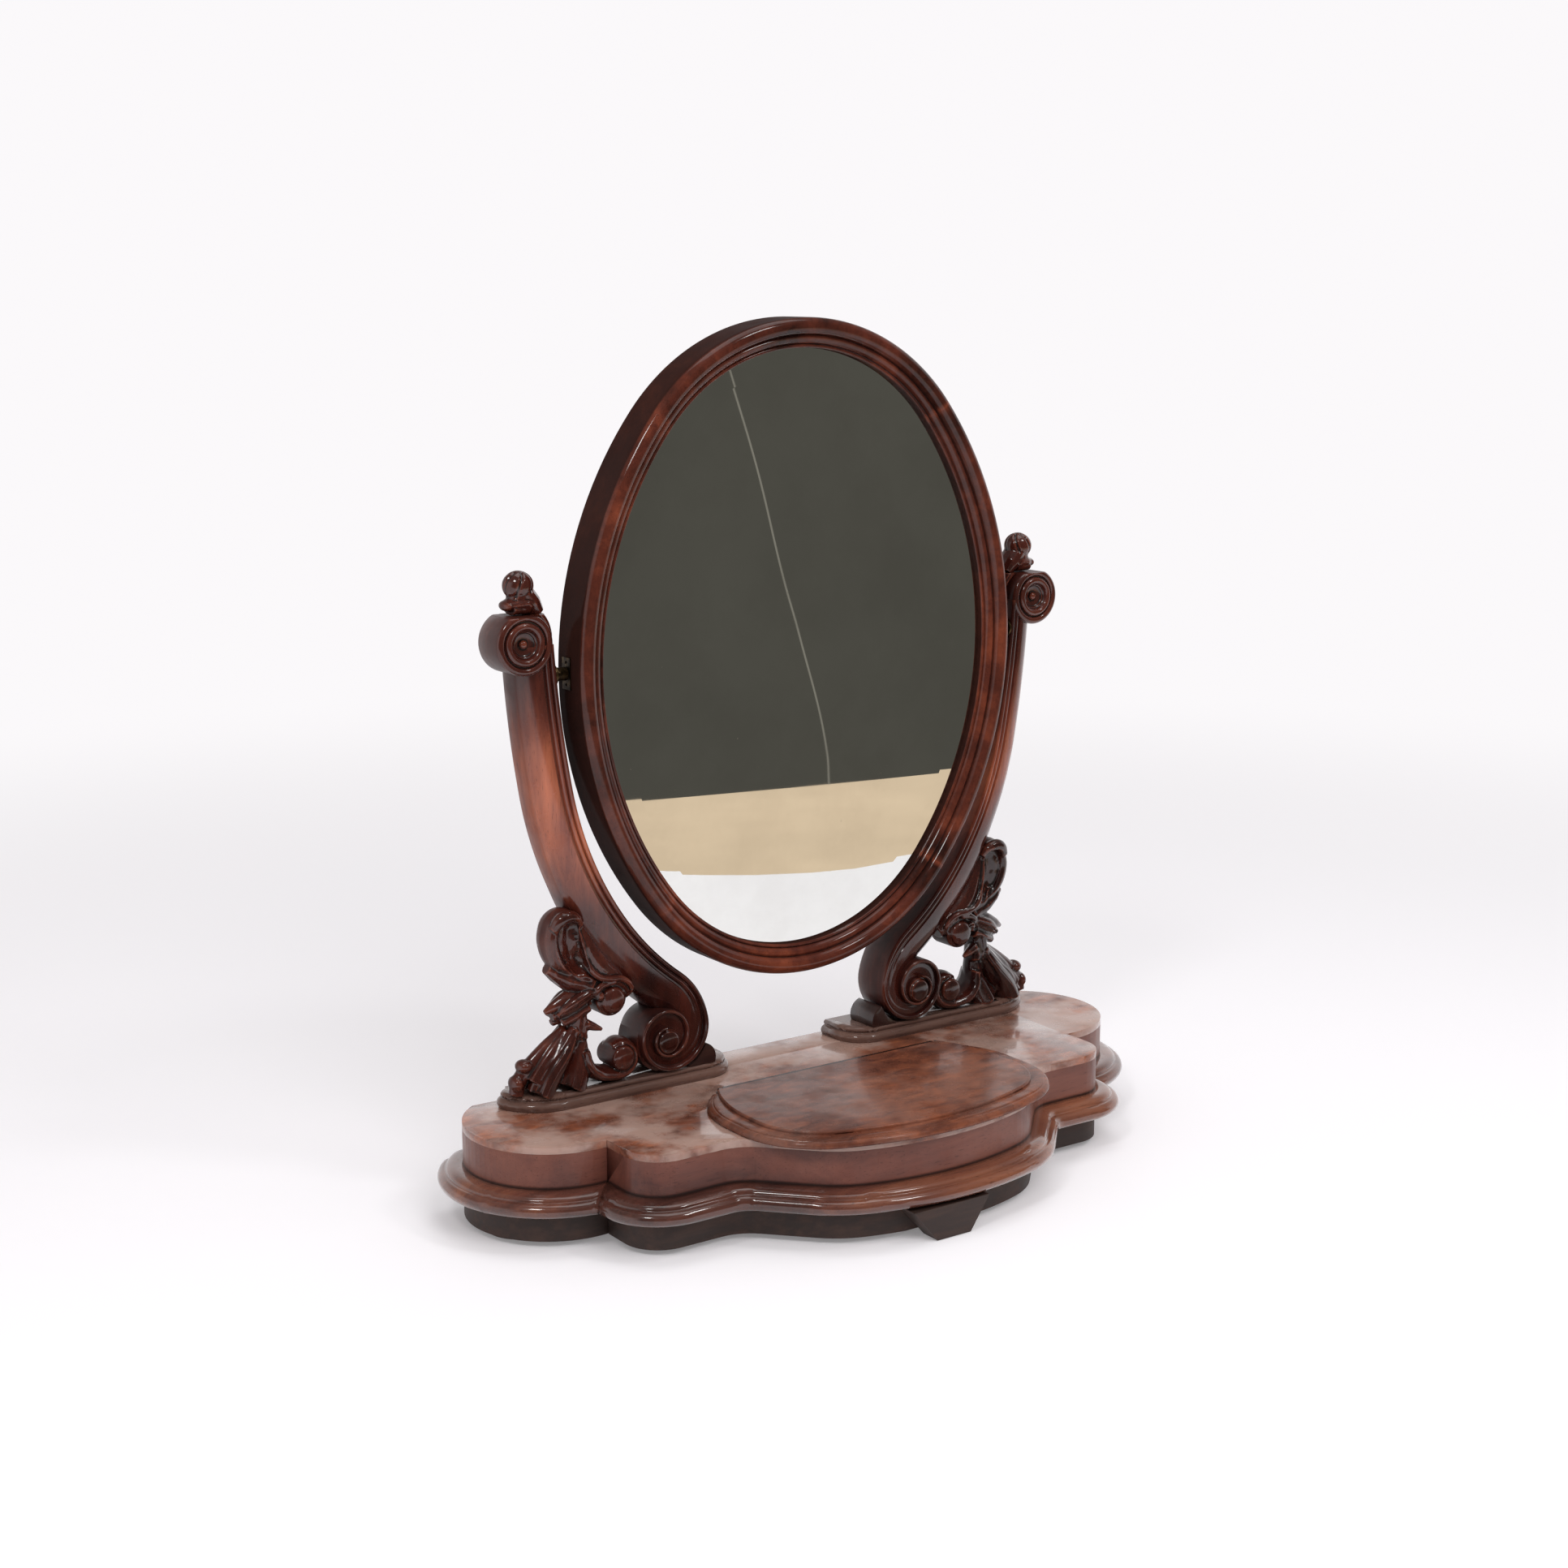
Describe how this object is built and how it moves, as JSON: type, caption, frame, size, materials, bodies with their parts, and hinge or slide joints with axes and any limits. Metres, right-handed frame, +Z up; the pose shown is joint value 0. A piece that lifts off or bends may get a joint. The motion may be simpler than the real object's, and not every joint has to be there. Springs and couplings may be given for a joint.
{
  "type": "dressing table mirror",
  "caption": "Oval swing mirror between carved scroll arms on a shaped mahogany base with a lidded trinket well and moulded plinth.",
  "frame": {"origin": "centre of the footprint on the table top", "axes": "+Z up, -Y towards the sitter, X along the width"},
  "size_m": [0.69, 0.292, 0.7242],
  "materials": {
    "mahogany": "french polished",
    "ebonised": "dark stained",
    "pine": "bare",
    "brass": "aged",
    "steel": "plain",
    "velvet": "pile",
    "silvered_glass": "bevelled plate"
  },
  "bodies": {
    "base": {"plinth_board": "mahogany", "plinth_moulding_front": "mahogany", "plinth_moulding_left": "mahogany", "plinth_moulding_right": "mahogany", "under_frame": "ebonised", "foot_front": "ebonised", "foot_front_left": "ebonised", "foot_front_right": "ebonised", "foot_end_left": "ebonised", "foot_end_right": "ebonised", "foot_dowels": "pine", "box_sides": "mahogany", "box_top": "mahogany", "trinket_tray": "velvet", "bearer_left": "pine", "bearer_right": "pine", "arm_screws": "steel", "hinge_box_left": "brass", "hinge_box_right": "brass", "hinge_pins": "brass", "pad_left": "mahogany", "pad_right": "mahogany", "arm_left": "mahogany", "arm_right": "mahogany", "finial_left": "mahogany", "finial_right": "mahogany", "toe_left": "ebonised", "toe_right": "ebonised", "swing_pin_left": "brass", "swing_pin_right": "brass"},
    "mirror": {"frame_top": "mahogany", "frame_left_upper": "mahogany", "frame_left_lower": "mahogany", "frame_bottom": "mahogany", "frame_right": "mahogany", "mirror_glass": "silvered_glass", "packing_strips": "pine", "backboard": "pine", "backboard_screws": "brass", "frame_plate_left": "brass", "frame_plate_right": "brass"},
    "lid": {"lid_board": "mahogany", "lid_panel": "mahogany", "hinge_lid_left": "brass", "hinge_lid_right": "brass"}
  },
  "joints": [
    {"name": "mirror_tilt", "type": "hinge", "parent": "base", "child": "mirror", "pos_m": [0, 0.1, 0.4457], "axis": [1, 0, 0], "range_deg": [-10, 30]},
    {"name": "lid_open", "type": "hinge", "parent": "base", "child": "lid", "pos_m": [0, 0.0464, 0.0858], "axis": [-1, 0, 0], "range_deg": [0, 70]}
  ]
}
